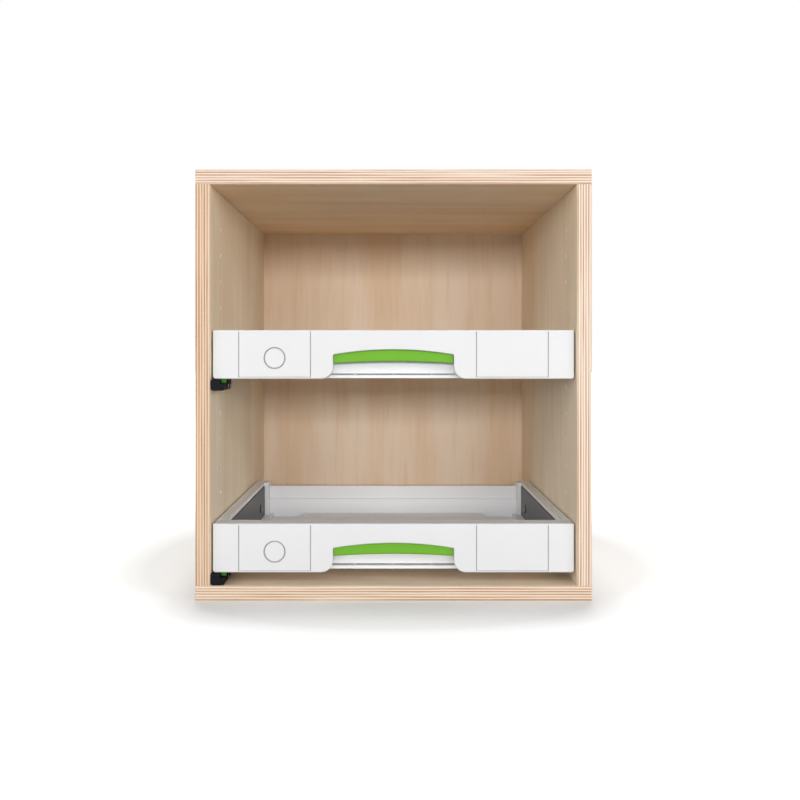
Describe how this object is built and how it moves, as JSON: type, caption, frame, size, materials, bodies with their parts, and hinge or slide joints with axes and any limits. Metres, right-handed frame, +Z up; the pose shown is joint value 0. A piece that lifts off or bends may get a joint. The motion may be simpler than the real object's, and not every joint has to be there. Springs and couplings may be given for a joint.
{
  "type": "tool case drawer unit",
  "caption": "Open-front plywood cabinet with shallow white moulded drawers for tool cases, on full-extension ball slides, each with a release lever in an arched hand opening.",
  "frame": {"origin": "centre of the bottom of the bounding box, on the floor under the carcass", "axes": "+Z up, the open front faces -Y, +X to the right seen from the front"},
  "size_m": [0.456, 0.45, 0.496],
  "materials": {
    "plywood": "birch plywood, clear oiled",
    "beech": "turned, fluted, raw",
    "white_plastic": "moulded ABS, fine texture",
    "green_plastic": "moulded, satin",
    "black_plastic": "moulded, satin",
    "cage_plastic": "moulded nylon",
    "dark_steel": "powder-coated, fine texture",
    "zinc_steel": "zinc plated",
    "bright_steel": "polished"
  },
  "bodies": {
    "carcass": {"left_side_panel": "plywood", "right_side_panel": "plywood", "top_panel": "plywood", "bottom_panel": "plywood", "back_panel": "plywood", "corner_dowels": "beech", "back_screws": "zinc_steel", "lower_left_cabinet_rail": "zinc_steel", "lower_right_cabinet_rail": "zinc_steel", "lower_rail_screws": "zinc_steel", "lower_catch_block": "black_plastic", "lower_catch_screws": "zinc_steel", "upper_left_cabinet_rail": "zinc_steel", "upper_right_cabinet_rail": "zinc_steel", "upper_rail_screws": "zinc_steel", "upper_catch_block": "black_plastic", "upper_catch_screws": "zinc_steel"},
    "lower_drawer": {"lower_tray": "white_plastic", "lower_front_cover": "white_plastic", "lower_blanking_cap": "white_plastic", "lower_left_side_plate": "dark_steel", "lower_right_side_plate": "dark_steel", "lower_side_clips": "black_plastic", "lower_plate_screws": "zinc_steel", "lower_cover_screws": "zinc_steel", "lower_left_drawer_rail": "zinc_steel", "lower_right_drawer_rail": "zinc_steel", "lower_latch_spring": "bright_steel"},
    "lower_middle_rails": {"lower_left_middle_rail": "zinc_steel", "lower_right_middle_rail": "zinc_steel"},
    "lower_outer_cages": {"lower_outer_ball_cages": "cage_plastic", "lower_outer_balls": "bright_steel"},
    "lower_inner_cages": {"lower_inner_ball_cages": "cage_plastic", "lower_inner_balls": "bright_steel"},
    "lower_lever": {"lower_release_lever": "green_plastic", "lower_lever_rod": "bright_steel", "lower_release_crank": "black_plastic"},
    "lower_latch": {"lower_latch_bolt": "green_plastic"},
    "upper_drawer": {"upper_tray": "white_plastic", "upper_front_cover": "white_plastic", "upper_blanking_cap": "white_plastic", "upper_left_side_plate": "dark_steel", "upper_right_side_plate": "dark_steel", "upper_side_clips": "black_plastic", "upper_plate_screws": "zinc_steel", "upper_cover_screws": "zinc_steel", "upper_left_drawer_rail": "zinc_steel", "upper_right_drawer_rail": "zinc_steel", "upper_latch_spring": "bright_steel"},
    "upper_middle_rails": {"upper_left_middle_rail": "zinc_steel", "upper_right_middle_rail": "zinc_steel"},
    "upper_outer_cages": {"upper_outer_ball_cages": "cage_plastic", "upper_outer_balls": "bright_steel"},
    "upper_inner_cages": {"upper_inner_ball_cages": "cage_plastic", "upper_inner_balls": "bright_steel"},
    "upper_lever": {"upper_release_lever": "green_plastic", "upper_lever_rod": "bright_steel", "upper_release_crank": "black_plastic"},
    "upper_latch": {"upper_latch_bolt": "green_plastic"}
  },
  "joints": [
    {"name": "lower_drawer_slide", "type": "slide", "parent": "carcass", "child": "lower_drawer", "axis": [0, -1, 0], "range_m": [0, 0.3]},
    {"name": "lower_middle_rails_slide", "type": "slide", "parent": "carcass", "child": "lower_middle_rails", "axis": [0, -1, 0], "range_m": [0, 0.15]},
    {"name": "lower_outer_cages_slide", "type": "slide", "parent": "carcass", "child": "lower_outer_cages", "axis": [0, -1, 0], "range_m": [0, 0.075]},
    {"name": "lower_inner_cages_slide", "type": "slide", "parent": "carcass", "child": "lower_inner_cages", "axis": [0, -1, 0], "range_m": [0, 0.225]},
    {"name": "lower_lever_hinge", "type": "hinge", "parent": "lower_drawer", "child": "lower_lever", "pos_m": [0, -0.204, 0.071], "axis": [-1, 0, 0], "range_deg": [0, 10], "stiffness_Nm_per_rad": 0.05, "springref_deg": -14.32},
    {"name": "lower_latch_lift", "type": "slide", "parent": "lower_drawer", "child": "lower_latch", "axis": [0, 0, 1], "range_m": [0, 0.00158], "deforming": ["lower_latch_spring"]},
    {"name": "upper_drawer_slide", "type": "slide", "parent": "carcass", "child": "upper_drawer", "axis": [0, -1, 0], "range_m": [0, 0.3]},
    {"name": "upper_middle_rails_slide", "type": "slide", "parent": "carcass", "child": "upper_middle_rails", "axis": [0, -1, 0], "range_m": [0, 0.15]},
    {"name": "upper_outer_cages_slide", "type": "slide", "parent": "carcass", "child": "upper_outer_cages", "axis": [0, -1, 0], "range_m": [0, 0.075]},
    {"name": "upper_inner_cages_slide", "type": "slide", "parent": "carcass", "child": "upper_inner_cages", "axis": [0, -1, 0], "range_m": [0, 0.225]},
    {"name": "upper_lever_hinge", "type": "hinge", "parent": "upper_drawer", "child": "upper_lever", "pos_m": [0, -0.204, 0.295], "axis": [-1, 0, 0], "range_deg": [0, 10], "stiffness_Nm_per_rad": 0.05, "springref_deg": -14.32},
    {"name": "upper_latch_lift", "type": "slide", "parent": "upper_drawer", "child": "upper_latch", "axis": [0, 0, 1], "range_m": [0, 0.00158], "deforming": ["upper_latch_spring"]}
  ],
  "couplings": [
    {"joint": "lower_middle_rails_slide", "follows": "lower_drawer_slide", "ratio": 0.5},
    {"joint": "lower_outer_cages_slide", "follows": "lower_drawer_slide", "ratio": 0.25},
    {"joint": "lower_inner_cages_slide", "follows": "lower_drawer_slide", "ratio": 0.75},
    {"joint": "lower_latch_lift", "follows": "lower_lever_hinge", "m_per_rad": 0.009},
    {"joint": "upper_middle_rails_slide", "follows": "upper_drawer_slide", "ratio": 0.5},
    {"joint": "upper_outer_cages_slide", "follows": "upper_drawer_slide", "ratio": 0.25},
    {"joint": "upper_inner_cages_slide", "follows": "upper_drawer_slide", "ratio": 0.75},
    {"joint": "upper_latch_lift", "follows": "upper_lever_hinge", "m_per_rad": 0.009}
  ]
}
